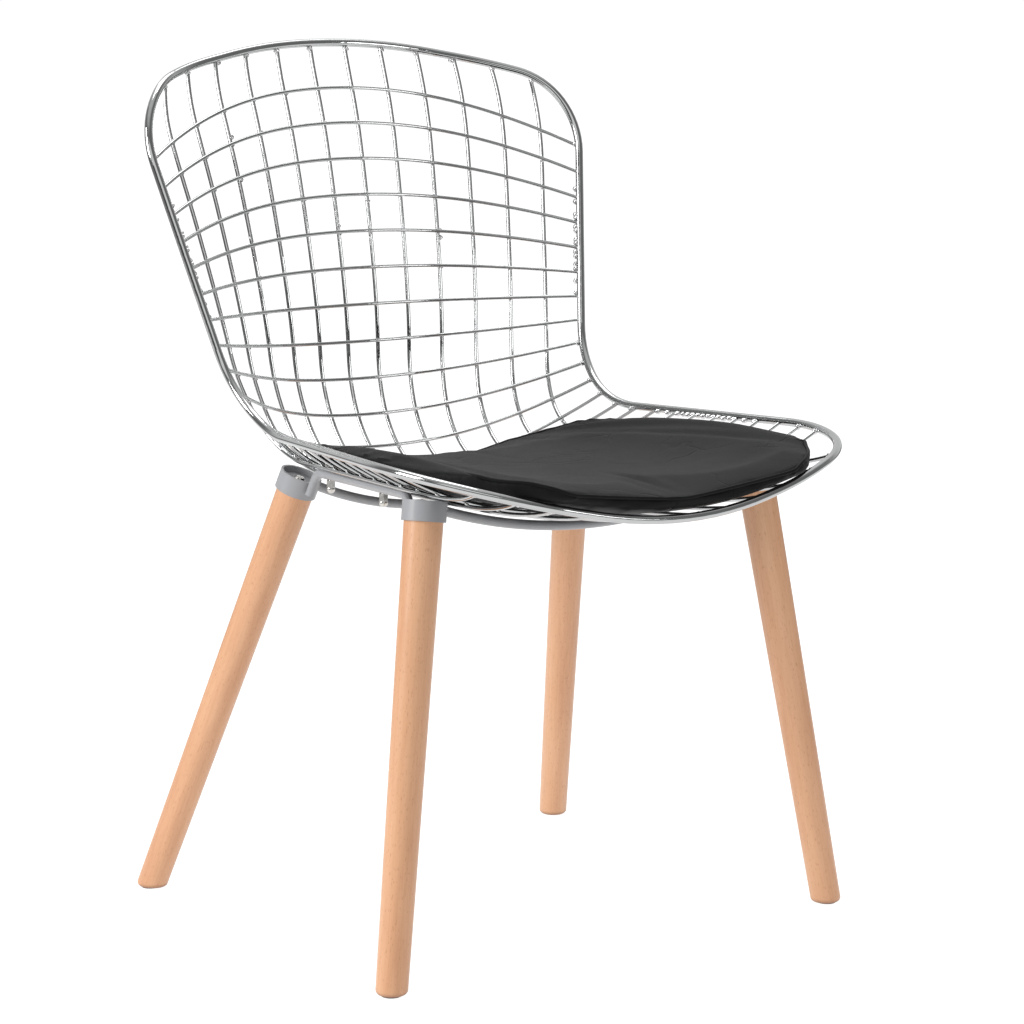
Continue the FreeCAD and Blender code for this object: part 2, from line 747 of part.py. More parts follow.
hooks = []
nuts = []
for side in ("left", "right"):
    stretches = side_bar.stretches
    if side == "right":
        stretches = side_bar.mirrored()
    bent = feature("side_bar_%s_bent" % side, rod(stretches, size["base_rod"]))
    drills = []
    for number, route in enumerate(hook_routes, start=1):
        tail = "_%s_%d" % (side, number)
        shank = route[0].start
        hook = rod(route, size["hook_rod"])
        if side == "right":
            shank = flipped(shank)
            hook = hook.mirror(V(0, 0, 0), X_AXIS)
        hooks.append(feature("clamp_hook" + tail, hook))
        nuts.append(nut("clamp_nut" + tail, shank))
        drill = doc.addObject("Part::Cylinder", "side_bar_drill" + tail)
        bound(drill, Radius="sizes.hook_rod / 2 + sizes.hook_fit", Height="sizes.base_rod * 3")
        drill.Placement.Base = shank
        drills.append(drill)
    pair = doc.addObject("Part::MultiFuse", "side_bar_%s_drills" % side)
    pair.Shapes = drills
    drilled = doc.addObject("Part::Cut", "side_bar_" + side)
    drilled.Base = bent
    drilled.Tool = pair
    kept(drilled, "side_bar_" + side)
hook_set = doc.addObject("Part::Compound", "clamp_hooks")
hook_set.Links = hooks
kept(hook_set, "clamp_hooks")
nut_set = doc.addObject("Part::Compound", "clamp_nuts")
nut_set.Links = nuts
kept(nut_set, "clamp_nuts")


def cross_bar(name, corner, drop, sag):
    """A bowed rod between two cups, its ends cut to the round of their walls."""
    end = corner.cup - corner.axis * (drop / corner.axis.z) - X_AXIS * cup_bore
    low = V(0, end.y, end.z - sag)
    whole = Part.Arc(flipped(end), low, end)
    heading = V(*whole.tangent(whole.FirstParameter)[0])
    bow = feature(name + "_bow", rod([Stretch(flipped(end), heading, end)], size["base_rod"]))
    cutters = []
    for side in ("left", "right"):
        cutter = doc.addObject("Part::Cylinder", "%s_cope_%s" % (name, side))
        bound(cutter, Radius="sizes.leg_top / 2 + sizes.cup_fit + sizes.cup_wall",
              Height="sizes.cup_length * 3")
        cutter.Placement = corner.place(corner.middle - 3.0 * half_cup, side)
        cutters.append(cutter)
    pair = doc.addObject("Part::MultiFuse", name + "_copes")
    pair.Shapes = cutters
    coped = doc.addObject("Part::Cut", name)
    coped.Base = bow
    coped.Tool = pair
    kept(coped, name)


cross_bar("front_cross_bar", front_corner, size["front_bow_drop"], size["front_bow_sag"])
cross_bar("rear_cross_bar", rear_corner, size["rear_bow_drop"], size["rear_bow_sag"])

# seat pad: a loft through flat sections from its rear edge to its front edge
# row and share of the outline where the pad lies on the shell
PAD_OUTLINE = [
    (12.7, 0.2), (12.8, 0.38), (12.95, 0.56), (13.3, 0.71), (13.8, 0.8), (14.8, 0.86),
    (16.0, 0.89), (18.4, 0.905), (20.0, 0.9), (22.0, 0.88), (23.8, 0.88), (25.3, 0.87),
]


def shell_bed(half, depth):
    """Height of the top of the cross wires at a plan position."""
    row, share = row_at(half, depth)
    return shell(row, share).z + cross_radius / shell_normal(row, share).z


def rim_bed(half, depth):
    """Height of the top of the rim rod along the front edge."""
    point, along = rim_at(max(half, CLOSE), seat_widest, rim.length)
    return point.z + rim_radius


def pad_line(bed, half, depth, lift, crown=0.0):
    """Arcs from side to side that follow what the pad lies on, and their left end."""
    stations = []
    for share in (0.0, 0.6, 1.0):
        across = half * share
        slope = (bed(across + 1.0, depth) - bed(abs(across - 1.0), depth)) / 2.0
        rise = lift + crown * (1.0 - share * share)
        slope = slope - 2.0 * crown * share / half
        point = V(across, depth, bed(across, depth) + rise)
        stations.append((point, unit(V(1.0, 0, slope))))
    side = through(stations)
    arcs = side.mirrored() + side.stretches
    return [item.edge() for item in arcs], stations[-1][0]


def pad_section(bed, half, depth, lower, upper):
    under, corner = pad_line(bed, half - size["pad_tuck"], depth, lower)
    over, seam = pad_line(bed, half - size["pad_seam"], depth, upper, size["pad_crown"])
    bulge = (corner + seam) * 0.5
    bulge.x = half
    side = Part.Arc(corner, bulge, seam).toShape()
    other = Part.Arc(flipped(seam), flipped(bulge), flipped(corner)).toShape()
    return Part.Wire(under + [side] + list(reversed(over)) + [other])


def roll(closeness):
    """The pad thins towards its rolled front and rear edges: lift of its underside and its top."""
    lower = size["pad_fit"] + size["pad_roll"] * closeness
    upper = size["pad_thickness"] - cross_radius - size["pad_roll"] * closeness
    return lower, upper


pad_sections = []
for number, (row, share) in enumerate(PAD_OUTLINE):
    edge = shell(row, share) + shell_normal(row, share) * size["pad_thickness"]
    lower, upper = roll(max(0.0, 1.0 - number / 2.0))
    pad_sections.append(pad_section(shell_bed, edge.x, edge.y, lower, upper))
# the two front sections lie on the rim: one behind the roll and one at its end
for flare, back, closeness in ((size["pad_front_flare"], size["pad_front_run"], 0.0), (1.0, 0.0, 1.0)):
    lower, upper = roll(closeness)
    upper = upper - rim_radius
    half = size["pad_front_half"] * flare
    pad_sections.append(pad_section(rim_bed, half, back - size["pad_front"], lower, upper))
pad = Part.makeLoft(pad_sections, True, False)
pad_item = feature("seat_pad_stuffed", pad)
# the soft pad gives way to the rim and to the heads of the hook bolts
pressed = rod(rim.stretches + rim.mirrored(), size["rim_rod"] + 2.0 * size["pad_fit"])
pockets = [feature("pad_groove", pressed)]
for number, route in enumerate(hook_routes, start=1):
    for side in ("left", "right"):
        crest = route[1].finish
        if side == "right":
            crest = flipped(crest)
        pocket = doc.addObject("Part::Cylinder", "pad_pocket_%s_%d" % (side, number))
        bound(pocket, Radius="sizes.hook_rod * 2", Height="sizes.pad_thickness")
        pocket.Placement.Base = crest + Z_AXIS * (hook_radius + size["pad_fit"] - size["pad_thickness"])
        pockets.append(pocket)
pocket_set = doc.addObject("Part::MultiFuse", "pad_pockets")
pocket_set.Shapes = pockets
pad_cut = doc.addObject("Part::Cut", "seat_pad")
pad_cut.Base = pad_item
pad_cut.Tool = pocket_set
kept(pad_cut, "seat_pad")

# every object has to be sound before anything is written
doc.recompute()
for item in doc.Objects:
    if "Invalid" in item.State or "Error" in item.State:
        raise RuntimeError("%s failed: %s" % (item.Label, item.State))
for item in parts:
    if item.Shape.isNull() or not item.Shape.isValid():
        raise RuntimeError("%s has no sound shape" % item.Label)
os.makedirs("parts", exist_ok=True)
for item in parts:
    item.Shape.exportStep("parts/%s.step" % item.Label)
print("sub-parts", len(parts))
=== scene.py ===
import math

import bmesh
import bpy
import numpy as np
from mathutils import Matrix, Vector
from mathutils.bvhtree import BVHTree
from mathutils.kdtree import KDTree


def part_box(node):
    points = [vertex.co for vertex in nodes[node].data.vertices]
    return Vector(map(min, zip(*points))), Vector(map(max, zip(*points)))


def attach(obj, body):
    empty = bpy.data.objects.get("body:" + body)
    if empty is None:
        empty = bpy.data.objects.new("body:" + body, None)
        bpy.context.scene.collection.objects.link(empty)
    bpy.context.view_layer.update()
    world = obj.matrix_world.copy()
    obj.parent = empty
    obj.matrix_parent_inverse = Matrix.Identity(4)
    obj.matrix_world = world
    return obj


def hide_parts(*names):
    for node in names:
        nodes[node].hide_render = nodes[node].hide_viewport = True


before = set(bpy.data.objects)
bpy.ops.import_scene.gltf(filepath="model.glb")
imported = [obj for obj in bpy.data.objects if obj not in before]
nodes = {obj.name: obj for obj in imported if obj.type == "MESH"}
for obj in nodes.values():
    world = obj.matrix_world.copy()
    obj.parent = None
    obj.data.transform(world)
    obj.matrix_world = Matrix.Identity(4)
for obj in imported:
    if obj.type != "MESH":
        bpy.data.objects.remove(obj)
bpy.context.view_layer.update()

# A dining chair: welded chrome wire shell, thin dark seat pad, grey steel base, beech legs.
# It faces -Y, +X is the sitter's left, and every size is in metres.
scene = bpy.context.scene
UP = Vector((0.0, 0.0, 1.0))
WHITE = (1.0, 1.0, 1.0, 1.0)


# Studio. A white paper sweep and a white wall behind the chair, a dim room at the camera's
# side with a bright box above the camera, and three soft boxes. The chrome mirrors the white
# and the dark of it as its stripes.
class Flow:
    """The output of a node. Sums on it add Math nodes to the same tree."""

    def __init__(self, finish, socket):
        self.finish = finish
        self.socket = socket

    def maths(self, operation, first, second, clamp=False):
        settings = {"operation": operation, "use_clamp": clamp}
        return self.finish.node("ShaderNodeMath", settings, {0: first, 1: second})

    def __add__(self, other):
        return self.maths("ADD", self, other)

    def __radd__(self, other):
        return self.maths("ADD", other, self)

    def __sub__(self, other):
        return self.maths("SUBTRACT", self, other)

    def __rsub__(self, other):
        return self.maths("SUBTRACT", other, self)

    def __mul__(self, other):
        return self.maths("MULTIPLY", self, other)

    def __rmul__(self, other):
        return self.maths("MULTIPLY", other, self)

    def kept_in(self):
        """The value held between 0 and 1."""
        return self.maths("MULTIPLY", self, 1.0, clamp=True)

    def step(self, low, high):
        """0 below low, 1 above high and a soft run between them."""
        settings = {"interpolation_type": "SMOOTHSTEP"}
        sockets = {"Value": self, "From Min": low, "From Max": high}
        return self.finish.node("ShaderNodeMapRange", settings, sockets)


class Finish:
    """A node tree under construction, of a material or of the sky."""

    def __init__(self, owner):
        owner.use_nodes = True
        self.tree = owner.node_tree

    def node(self, kind, settings, sockets, output=0):
        """Adds a node: settings first, then the values or links of its sockets."""
        made = self.tree.nodes.new(kind)
        for name, value in settings.items():
            if name == "stops":
                ramp = made.color_ramp.elements
                while len(ramp) < len(value):
                    ramp.new(0.5)
                for stop, (place, colour) in zip(ramp, value):
                    stop.position = place
                    stop.color = colour
            else:
                setattr(made, name, value)
        for name, value in sockets.items():
            self.feed(made.inputs[name], value)
        return Flow(self, made.outputs[output])

    def feed(self, socket, value):
        if isinstance(value, Flow):
            self.tree.links.new(value.socket, socket)
        else:
            socket.default_value = value

    def place(self):
        """The point on the object, in metres."""
        return self.node("ShaderNodeTexCoord", {}, {}, "Object")

    def along(self, vector, direction):
        """How far a point lies along a direction."""
        return self.node("ShaderNodeVectorMath", {"operation": "DOT_PRODUCT"},
                         {0: vector, 1: direction}, "Value")

    def noise(self, vector, scale, detail=2.0, roughness=0.5):
        sockets = {"Vector": vector, "Scale": scale, "Detail": detail, "Roughness": roughness}
        return self.node("ShaderNodeTexNoise", {}, sockets, "Fac")

    def cells(self, vector, scale):
        """Distance to the nearest border of a net of cells."""
        sockets = {"Vector": vector, "Scale": scale}
        return self.node("ShaderNodeTexVoronoi", {"feature": "DISTANCE_TO_EDGE"}, sockets, "Distance")

    def blended(self, share, first, second):
        """A colour between two colours."""
        sockets = {"Factor": share, 6: first, 7: second}
        return self.node("ShaderNodeMix", {"data_type": "RGBA"}, sockets, 2)

    def bumped(self, height, distance, strength):
        sockets = {"Height": height, "Distance": distance, "Strength": strength}
        return self.node("ShaderNodeBump", {}, sockets, "Normal")

    def principled(self, **sockets):
        """Feeds the main shader: its socket names with underscores for blanks."""
        shader = self.tree.nodes["Principled BSDF"]
        for name, value in sockets.items():
            self.feed(shader.inputs[name.replace("_", " ")], value)


def linear(red, green, blue):
    """A colour as a paint chart gives it, 0 to 255, turned into light."""
    channels = []
    for value in (red, green, blue):
        share = value / 255.0
        channels.append(share / 12.92 if share <= 0.04045 else ((share + 0.055) / 1.055) ** 2.4)
    return tuple(channels) + (1.0,)


def shaded(colour, share):
    """A darker tone of a colour."""
    return tuple(value * share for value in colour[:3]) + (1.0,)


def finish_of(name):
    material = bpy.data.materials.new(name)
    return material, Finish(material)


# a long lens in millimetres, at table height, a little to the sitter's right of the chair
LENS = 113.04
SENSOR = 36.0
CAMERA_PLACE = Vector((-1.7774, -2.4674, 0.8613))
CAMERA_TILT = math.radians(81.045)
CAMERA_TURN = math.radians(-36.088)
camera = bpy.data.objects.new("camera", bpy.data.cameras.new("camera"))
scene.collection.objects.link(camera)
camera.data.lens = LENS
camera.data.sensor_width = SENSOR
camera.location = CAMERA_PLACE
camera.rotation_euler = (CAMERA_TILT, 0.0, CAMERA_TURN)
scene.camera = camera
scene.view_settings.view_transform = "Standard"

# what lights the room and is mirrored: the dim walls, the white wall behind, the bright box
# above the camera, the ceiling, and the dark floor of the room at the camera's side
ROOM_LIGHT = 0.20
WALL_LIGHT = 0.55
BOX_LIGHT = 0.75
CEILING_LIGHT = 0.45
FLOOR_SHADE = 0.19
BACKDROP_LIGHT = 1.02
to_camera = Vector((CAMERA_PLACE.x, CAMERA_PLACE.y, 0.0)).normalized()
to_left = to_camera.cross(UP)
sky = bpy.data.worlds.new("studio")
scene.world = sky
studio = Finish(sky)
heading = studio.node("ShaderNodeTexCoord", {}, {}, "Generated")
facing = studio.along(heading, to_camera)
upward = studio.along(heading, UP)
behind = (0 - facing).step(0.15, 0.75)
low_dark = facing.step(0.30, 0.70) * (1 - upward.step(0.03, 0.10))
high_box = facing.step(0.70, 0.84) * upward.step(0.10, 0.17) * (1 - upward.step(0.50, 0.68))
overhead = upward.step(0.62, 0.92)
sky_light = (ROOM_LIGHT + behind * WALL_LIGHT + high_box * BOX_LIGHT
             + overhead * CEILING_LIGHT - low_dark * FLOOR_SHADE)
seen = studio.node("ShaderNodeLightPath", {}, {}, "Is Camera Ray")
backdrop = studio.tree.nodes["Background"]
studio.feed(backdrop.inputs["Color"], WHITE)
studio.feed(backdrop.inputs["Strength"], sky_light * (1 - seen) + seen * BACKDROP_LIGHT)

# the paper is white and bright round the chair and dark further out, but seen white all over
FLOOR_REACH = 60.0
PAPER_NEAR = 1.2
PAPER_FAR = 3.4
PAPER_LIGHT = 0.80
floor_mesh = bpy.data.meshes.new("floor")
corners = [(-1, -1), (1, -1), (1, 1), (-1, 1)]
floor_mesh.from_pydata([(x * FLOOR_REACH, y * FLOOR_REACH, 0.0) for x, y in corners], [], [(0, 1, 2, 3)])
floor = bpy.data.objects.new("floor", floor_mesh)
scene.collection.objects.link(floor)
sweep, paper = finish_of("pale_floor")
out = paper.node("ShaderNodeVectorMath", {"operation": "LENGTH"}, {0: paper.place()}, "Value")
direct = paper.node("ShaderNodeLightPath", {}, {}, "Is Camera Ray")
lit = ((1 - out.step(PAPER_NEAR, PAPER_FAR)) * PAPER_LIGHT + direct).kept_in()
paper.principled(
    Base_Color=shaded(WHITE, 0.30),
    Roughness=0.9,
    Specular_IOR_Level=0.0,
    Emission_Color=paper.blended(lit, shaded(WHITE, 0.02), WHITE),
    Emission_Strength=0.95,
)
floor_mesh.materials.append(sweep)


def soft_box(name, place, width, power):
    """A square lamp that faces the middle of the chair."""
    lamp = bpy.data.lights.new(name, "AREA")
    lamp.size = width
    lamp.energy = power
    stand = bpy.data.objects.new(name, lamp)
    stand.location = place
    stand.rotation_euler = (UP * 0.4 - place).to_track_quat("-Z", "Y").to_euler()
    scene.collection.objects.link(stand)


soft_box("left_soft_box", to_camera * 1.2 + to_left * 2.6 + UP * 1.5, 1.4, 62.0)
soft_box("top_soft_box", Vector((0.3, 0.6, 2.8)), 1.6, 24.0)
soft_box("right_soft_box", to_camera * 1.6 - to_left * 2.8 + UP * 1.1, 0.9, 12.0)


# Wire shell. A round rim rod closes a net of thinner wires, all of steel with bright chrome:
# cross wires in front, long wires behind, pressed together where they meet.
def dressed(node, material):
    """Gives a carried-over piece its finish."""
    for place in nodes[node].material_slots:
        place.material = material


def plated_finish(name, colour, roughness, cloudiness):
    """Bright plating: faint clouds of polish and the shallow waves of a drawn rod."""
    material, finish = finish_of(name)
    place = finish.place()
    clouds = finish.noise(place, 34.0, 3.0)
    waves = finish.noise(place, 120.0, 1.0)
    finish.principled(
        Base_Color=finish.blended(clouds, shaded(colour, 0.86), colour),
        Metallic=1.0,
        Roughness=(clouds - 0.5) * cloudiness + roughness,
        Normal=finish.bumped(waves, 0.0004, 0.25),
    )
    return material


CROSS_WIRES = [name for name in sorted(nodes) if name.startswith("cross_wire_")]
LONG_WIRES = [name for name in sorted(nodes) if name.startswith("long_wire_")]
chrome = plated_finish("bright_chrome", (0.60, 0.605, 0.61, 1.0), 0.08, 0.06)
for wire in CROSS_WIRES + LONG_WIRES + ["rim_rod"]:
    dressed(wire, chrome)


# Welds. Every crossing is a spot weld with a small bead in its corners, and every wire end
# has a collar of weld on the rim. They are found where the solids meet.
def corners_of(mesh):
    table = np.empty(len(mesh.vertices) * 3)
    mesh.vertices.foreach_get("co", table)
    return table.reshape(-1, 3)


points = {name: corners_of(nodes[name].data) for name in nodes}
skins = {}
for name in nodes:
    skin = bmesh.new()
    skin.from_mesh(nodes[name].data)
    skins[name] = BVHTree.FromBMesh(skin)
    skin.free()

# faces that meet closer together than this belong to one weld
WELD_REACH = 0.012


def meetings(first, second):
    """Middles of the places where two pieces meet, each with the way from second to first."""
    here = nodes[first].data.polygons
    there = nodes[second].data.polygons
    groups = []
    for mine, other in skins[first].overlap(skins[second]):
        spot = (here[mine].center + there[other].center) * 0.5
        facing = there[other].normal - here[mine].normal
        for group in groups:
            if (group[0][0] - spot).length < WELD_REACH:
                group.append((spot, facing))
                break
        else:
            groups.append([(spot, facing)])
    found = []
    for group in groups:
        middle = sum((spot for spot, facing in group), Vector()) / len(group)
        facing = sum((facing for spot, facing in group), Vector())
        found.append((middle, facing.normalized()))
    return found


def near_to(name, middle, reach):
    """Corners of a piece's mesh within reach of a point."""
    cloud = points[name]
    return cloud[np.linalg.norm(cloud - np.array(middle), axis=1) < reach]


def run_of(name, middle):
    """Which way a wire runs near a point."""
    near = near_to(name, middle, WELD_REACH)
    if len(near) < 4:
        return Vector((1.0, 0.0, 0.0))
    return Vector(np.linalg.svd(near - near.mean(0), full_matrices=False)[2][0])


def add_bead(pile, middle, out, run, across, thick, lobes):
    """One bead: a flattened drop whose edge runs out in lobes along the wires."""
    side = out.cross(run).normalized()
    run = side.cross(out).normalized()
    made = bmesh.ops.create_icosphere(pile, subdivisions=3, radius=1.0)
    for corner in made["verts"]:
        angle = math.atan2(corner.co.y, corner.co.x)
        flat = across * (1.0 + lobes * math.cos(4.0 * angle))
        corner.co = (middle + run * (corner.co.x * flat) + side * (corner.co.y * flat)
                     + out * (corner.co.z * thick))


def linked(name, data, material):
    """A new piece of the chair with its finish. It rides on the chair's one body."""
    data.materials.append(material)
    piece = bpy.data.objects.new(name, data)
    scene.collection.objects.link(piece)
    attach(piece, "root")


def smoothed(mesh):
    mesh.polygons.foreach_set("use_smooth", [True] * len(mesh.polygons))


def laid_beads(name, joints, across, thick, lobes):
    """Beads at joints, each a place, the way out of it and the way that the wire runs."""
    pile = bmesh.new()
    for middle, out, run in joints:
        add_bead(pile, middle, out, run, across, thick, lobes)
    mesh = bpy.data.meshes.new(name)
    pile.to_mesh(mesh)
    pile.free()
    smoothed(mesh)
    linked(name, mesh, weld_chrome)


weld_chrome = plated_finish("weld_chrome", (0.80, 0.80, 0.805, 1.0), 0.20, 0.12)
crossings = []
for cross in CROSS_WIRES:
    for long in LONG_WIRES:
        for middle, out in meetings(cross, long):
            crossings.append((middle, out, run_of(cross, middle)))
laid_beads("crossing_welds", crossings, 0.0023, 0.0014, 0.16)
ends = []
for wire in CROSS_WIRES + LONG_WIRES:
    for middle, out in meetings(wire, "rim_rod"):
        ends.append((middle, out, run_of("rim_rod", middle)))
laid_beads("rim_welds", ends, 0.0030, 0.0024, 0.08)


# Base. Two bent side bars, two bowed cross bars and four short cups, welded up of steel rod
# and tube and sprayed a satin light grey. A rope of weld is laid round each cross bar's end.
def paint_finish(name, colour):
    """A sprayed coat: its fine skin, and faint clouds of thicker and thinner paint."""
    material, finish = finish_of(name)
    place = finish.place()
    skin = finish.noise(place, 900.0, 2.0)
    clouds = finish.noise(place, 18.0, 2.0)
    finish.principled(
        Base_Color=finish.blended(clouds, shaded(colour, 0.92), colour),
        Roughness=clouds * 0.10 + 0.36,
        Coat_Weight=0.25,
        Coat_Roughness=0.25,
        Normal=finish.bumped(skin, 0.00012, 0.35),
    )
    return material


grey_paint = paint_finish("satin_grey_paint", linear(163, 164, 167))
CORNERS = ["front_left", "front_right", "rear_left", "rear_right"]
BARS = ["side_bar_left", "side_bar_right", "front_cross_bar", "rear_cross_bar"]
for piece in ["leg_cup_" + corner for corner in CORNERS] + BARS:
    dressed(piece, grey_paint)

BAR_RADIUS = 0.0045
ROPE_RADIUS = 0.0016
ROPE_KNOTS = 64
ROPE_RISE = 0.0006
ROPE_WAVE = 0.22
# how near a cup's wall a corner of a bar lies that is on its cut end, and the length of bar
# beside it that shows which way the bar runs
ON_THE_WALL = 0.0003
BAR_LOOK = 0.020


def rope_weld(name, bar, cup):
    """The weld round a bar's end on a cup, laid in small steps."""
    wall = skins[cup]
    cut_end = [spot for spot in map(Vector, points[bar]) if wall.find_nearest(spot, BAR_LOOK)[3] is not None
               and wall.find_nearest(spot, BAR_LOOK)[3] < ON_THE_WALL]
    middle = sum(cut_end, Vector()) / len(cut_end)
    run = (Vector(near_to(bar, middle, BAR_LOOK).mean(0)) - middle).normalized()
    side = run.orthogonal().normalized()
    other = run.cross(side)
    curve = bpy.data.curves.new(name, "CURVE")
    curve.dimensions = "3D"
    curve.bevel_depth = ROPE_RADIUS
    curve.bevel_resolution = 3
    spline = curve.splines.new("POLY")
    spline.points.add(ROPE_KNOTS - 1)
    spline.use_cyclic_u = True
    for index, knot in enumerate(spline.points):
        angle = 2.0 * math.pi * index / ROPE_KNOTS
        reach = (side * math.cos(angle) + other * math.sin(angle)) * (BAR_RADIUS + ROPE_RADIUS / 2.0)
        spot = wall.ray_cast(middle + reach + run * BAR_LOOK, run * -1.0)[0]
        knot.co = ((spot or middle + reach) + run * ROPE_RISE).to_4d()
        knot.radius = 1.0 + ROPE_WAVE * math.sin(index * 1.1)
    linked(name, curve, grey_paint)


for corner in CORNERS:
    rope_weld("weld_cross_bar_" + corner, corner.split("_")[0] + "_cross_bar", "leg_cup_" + corner)

# Clamps and leg screws. A nickel plated hook bolt grips one cross wire of the shell over each
# end of a side bar, and an acorn nut draws it down from below. A screw in each cup holds a leg.
nickel = plated_finish("bright_nickel", (0.72, 0.70, 0.665, 1.0), 0.16, 0.10)
for piece in ("clamp_hooks", "clamp_nuts", "leg_screws"):
    dressed(piece, nickel)

# Legs. Turned beech, tapering to the floor, the grain running from foot to cup, under a
# satin lacquer. The sole is dull, and a painted contact shadow darkens it where it meets the floor.
BEECH_LIGHT = linear(232, 182, 142)
BEECH_MID = linear(219, 165, 125)
BEECH_DARK = linear(196, 136, 97)
BEECH_FLECK = linear(168, 104, 66)
# the brown of the painted contact shadow where each leg meets the floor
FLOOR_SHADOW_BROWN = linear(120, 82, 58)
LEG_END = 0.012


def leg_axis(leg):
    """Direction of a leg from foot to cup, from its own solid."""
    cloud = points[leg]
    foot = cloud[cloud[:, 2] < cloud[:, 2].min() + LEG_END].mean(0)
    top = cloud[cloud[:, 2] > cloud[:, 2].max() - LEG_END].mean(0)
    return Vector(top - foot).normalized()


def beech_finish(leg, shift):
    """Beech for one leg. Shift moves the leg to another place in the plank."""
    axis = leg_axis(leg)
    side = axis.orthogonal().normalized()
    material, finish = finish_of("beech_" + leg)
    place = finish.place()
    height = finish.along(place, axis)
    left = finish.along(place, side) + shift
    deep = finish.along(place, axis.cross(side))

    def drawn_out(share):
        """The leg's own directions, with all that runs along it drawn out."""
        return finish.node("ShaderNodeCombineXYZ", {}, {"X": left, "Y": deep, "Z": height * share})

    fibres = finish.noise(drawn_out(0.045), 620.0, 3.0, 0.6)
    rings = finish.noise(drawn_out(0.12), 46.0, 2.0)
    fleck = finish.noise(drawn_out(0.22), 1100.0, 1.0).step(0.62, 0.74)
    tone = (rings * 0.75 + fibres * 0.45 - 0.12).kept_in()
    stops = [(0.15, BEECH_LIGHT), (0.5, BEECH_MID), (0.92, BEECH_DARK)]
    wood = finish.node("ShaderNodeValToRGB", {"stops": stops}, {"Fac": tone}, "Color")
    flecked = finish.blended(fleck * 0.38, wood, BEECH_FLECK)
    # the last few millimetres above the floor: dull wood, and darkened there as painted contact shadow
    sole_dullness_and_shadow = 1 - finish.along(place, UP).step(0.0010, 0.0065)
    finish.principled(
        Base_Color=finish.blended(sole_dullness_and_shadow * 0.75, flecked, FLOOR_SHADOW_BROWN),
        Roughness=fibres * 0.14 + 0.34 + sole_dullness_and_shadow * 0.25,
        Coat_Weight=0.30,
        Coat_Roughness=0.22,
        Normal=finish.bumped(fibres - fleck * 0.5, 0.00018, 0.30),
    )
    return material


for number, corner in enumerate(CORNERS):
    dressed("leg_" + corner, beech_finish("leg_" + corner, 0.37 * number))

# Glides. Round moulded plastic discs let into the soles, which keep the wood off the floor.
# They are near black, with the dull skin of the mould.
glide_plastic, moulding = finish_of("glide_plastic")
skin = moulding.noise(moulding.place(), 260.0, 2.0)
moulding.principled(
    Base_Color=moulding.blended(skin, linear(46, 44, 43), linear(62, 60, 58)),
    Roughness=skin * 0.2 + 0.45,
    Normal=moulding.bumped(skin, 0.0001, 0.3),
)
for corner in CORNERS:
    dressed("glide_" + corner, glide_plastic)

# Seat pad. A thin foam pad in near black leather cloth: a top panel sewn to a side strip with
# a piped seam, a little higher in its middle. The pressure of a simulated cloth fills it out
# between its seams, and it lies in the hollow of the shell.
SIDE_SPREAD = 0.0045
SIDE_RISE = 0.0066
REAR_DROP = 0.0045
UNDERSIDE_FIT = 0.0009
SEAM_CREASE = math.radians(28.0)
SEAM_KNOTS = 220
PAD_GRID = 0.0048
PAD_SWELL = 0.0070
PAD_PRESSURE = 4.0
PAD_STEPS = 20
pad_low, pad_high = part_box("seat_pad")
pad_middle = (pad_low.y + pad_high.y) / 2.0


def smooth_step(value, low, high):
    share = min(max((value - low) / (high - low), 0.0), 1.0)
    return share * share * (3.0 - 2.0 * share)


def eased(spot, height):
    """Where a point of the pad goes: sides out and up, the rear edge thinner in the middle."""
    out = smooth_step(abs(spot.x), 0.095, 0.185)
    rear = smooth_step(spot.y, 0.035, 0.105)
    front = 1.0 - smooth_step(spot.y, -0.26, -0.15)
    middle = 1.0 - smooth_step(abs(spot.x), 0.030, 0.120)
    rise = SIDE_RISE * out * (1.0 - rear) * (1.0 - front * 0.6) - REAR_DROP * rear * middle
    spread = math.copysign(SIDE_SPREAD * out, spot.x)
    return spot + Vector((spread, 0.0, rise)) * height


def turn_of(spot):
    """Direction of a point as seen from the middle of the pad, on an outline made round."""
    return math.atan2(spot.x / pad_high.x, (spot.y - pad_middle) / (pad_high.y - pad_middle))


shape = bmesh.new()
shape.from_mesh(nodes["seat_pad"].data)
bmesh.ops.remove_doubles(shape, verts=shape.verts, dist=1e-6)
shape.normal_update()
seam_ends = []
for edge in shape.edges:
    if len(edge.link_faces) == 2 and edge.calc_face_angle() > SEAM_CREASE:
        lower, upper = sorted(face.normal.z for face in edge.link_faces)
        if upper > 0.75 and lower < upper - 0.2:
            seam_ends.extend(vertex.co.copy() for vertex in edge.verts)
seam = []
for index in range(SEAM_KNOTS):
    low = -math.pi + 2.0 * math.pi * index / SEAM_KNOTS
    high = low + 2.0 * math.pi / SEAM_KNOTS
    inside = [spot for spot in seam_ends if low <= turn_of(spot) < high]
    if inside:
        seam.append(eased(sum(inside, Vector()) / len(inside), 1.0))
for vertex in shape.verts:
    height = smooth_step(vertex.normal.z, -0.35, 0.45)
    vertex.co = eased(vertex.co - vertex.normal * UNDERSIDE_FIT, height)
pad = bpy.data.objects.new("padded_seat", bpy.data.meshes.new("padded_seat"))
shape.to_mesh(pad.data)
shape.free()
scene.collection.objects.link(pad)


def settled(piece):
    """Takes the shape that the modifiers give and removes them."""
    view = bpy.context.evaluated_depsgraph_get()
    mesh = bpy.data.meshes.new_from_object(piece.evaluated_get(view))
    piece.modifiers.clear()
    piece.data = mesh


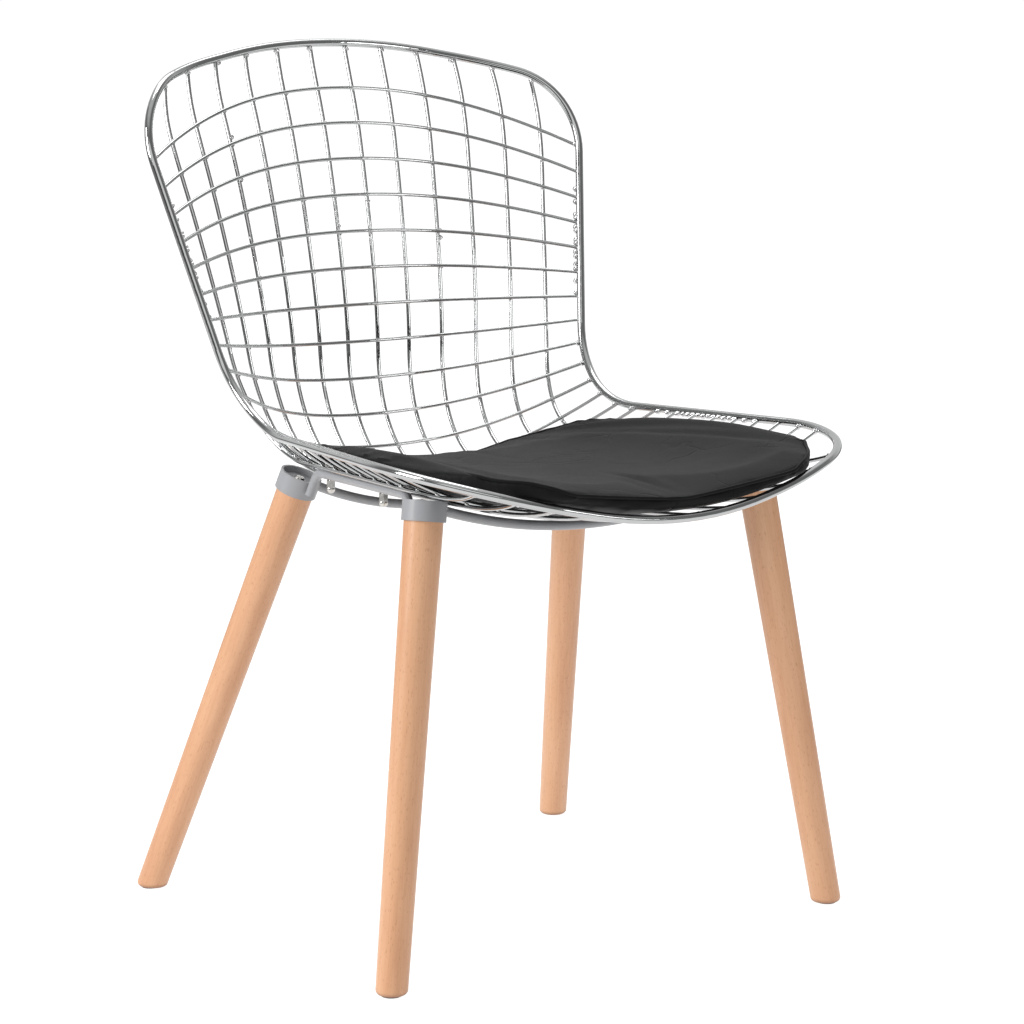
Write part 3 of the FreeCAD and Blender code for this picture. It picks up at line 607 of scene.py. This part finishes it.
remesh = pad.modifiers.new("even_mesh", "REMESH")
remesh.mode = "VOXEL"
remesh.voxel_size = PAD_GRID
settled(pad)
seam_tree = KDTree(len(seam))
for index, spot in enumerate(seam):
    seam_tree.insert(spot, index)
seam_tree.balance()
sewn = pad.vertex_groups.new(name="sewn")
upper_share = np.empty(len(pad.data.vertices))
for vertex in pad.data.vertices:
    nearest, index, distance = seam_tree.find(vertex.co)
    upper_share[vertex.index] = smooth_step(vertex.normal.z, -0.5, 0.4)
    hold = 1.0 - smooth_step(distance, 0.0025, 0.007)
    if hold > 0.0:
        sewn.add([vertex.index], hold, "REPLACE")

before = corners_of(pad.data)
cloth = pad.modifiers.new("filling", "CLOTH")
cloth.settings.use_pressure = True
cloth.settings.uniform_pressure_force = PAD_PRESSURE
cloth.settings.effector_weights.gravity = 0.0
cloth.settings.vertex_group_mass = "sewn"
cloth.settings.quality = 5
cloth.point_cache.frame_start = 1
cloth.point_cache.frame_end = PAD_STEPS
for step in range(1, PAD_STEPS + 1):
    scene.frame_set(step)
view = bpy.context.evaluated_depsgraph_get()
move = corners_of(bpy.data.meshes.new_from_object(pad.evaluated_get(view))) - before
pad.modifiers.clear()
scene.frame_set(1)
length = np.linalg.norm(move, axis=1)
limit = PAD_SWELL * upper_share + 0.0001
move = move * np.minimum(1.0, limit / np.maximum(length, 1e-9))[:, None]
pad.data.vertices.foreach_set("co", (before + move).ravel())
pad.data.update()

smoother = pad.modifiers.new("eased", "SMOOTH")
smoother.factor = 0.5
smoother.iterations = 3
fine = pad.modifiers.new("fine", "SUBSURF")
fine.levels = 1
fine.render_levels = 1
settled(pad)
smoothed(pad.data)

# leather cloth: a fine pebble grain with pores, soft rolls, and creases in patches, with painted shade
# darkening the creases
leather, hide = finish_of("dark_leather_cloth")
place = hide.place()
grain = hide.cells(place, 620.0)
pores = hide.noise(place, 1500.0, 2.0)
patches = hide.noise(place, 9.0, 3.0)
drift = hide.node("ShaderNodeTexNoise", {}, {"Vector": place, "Scale": 14.0, "Detail": 2.0}, "Color")
drift = hide.node("ShaderNodeVectorMath", {"operation": "SCALE"}, {0: drift, "Scale": 0.09}, "Vector")
bent = hide.node("ShaderNodeVectorMath", {"operation": "ADD"}, {0: place, 1: drift}, "Vector")
crease = (1 - hide.cells(bent, 13.0).step(0.0, 0.035)) * hide.noise(place, 11.0, 1.0).step(0.42, 0.62)
rolls = hide.noise(place, 26.0, 2.0)
relief = grain.step(0.0, 0.25) * 0.10 + pores * 0.05 - crease * 1.1 + rolls * 1.2
hide.principled(
    # darker at random in patches, and darker in the creases as painted shade
    Base_Color=hide.blended((patches * 0.5 + crease * 0.4).kept_in(), linear(20, 20, 21), linear(15, 15, 16)),
    Roughness=patches * 0.10 + 0.44 + grain.step(0.0, 0.3) * 0.05,
    Specular_IOR_Level=0.12,
    Normal=hide.bumped(relief, 0.0009, 0.6),
)
pad.data.materials.clear()
pad.data.materials.append(leather)
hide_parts("seat_pad")
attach(pad, "root")

PIPING_RADIUS = 0.0017
pad_skin = BVHTree.FromObject(pad, bpy.context.evaluated_depsgraph_get())
piping = bpy.data.curves.new("seat_piping", "CURVE")
piping.dimensions = "3D"
piping.bevel_depth = PIPING_RADIUS
piping.bevel_resolution = 3
line = piping.splines.new("NURBS")
line.points.add(len(seam) - 1)
for knot, spot in zip(line.points, seam):
    surface, normal, face, distance = pad_skin.find_nearest(spot)
    knot.co = (surface + normal * 0.0004).to_4d()
line.order_u = 4
line.use_cyclic_u = True
linked("seat_piping", piping, leather)
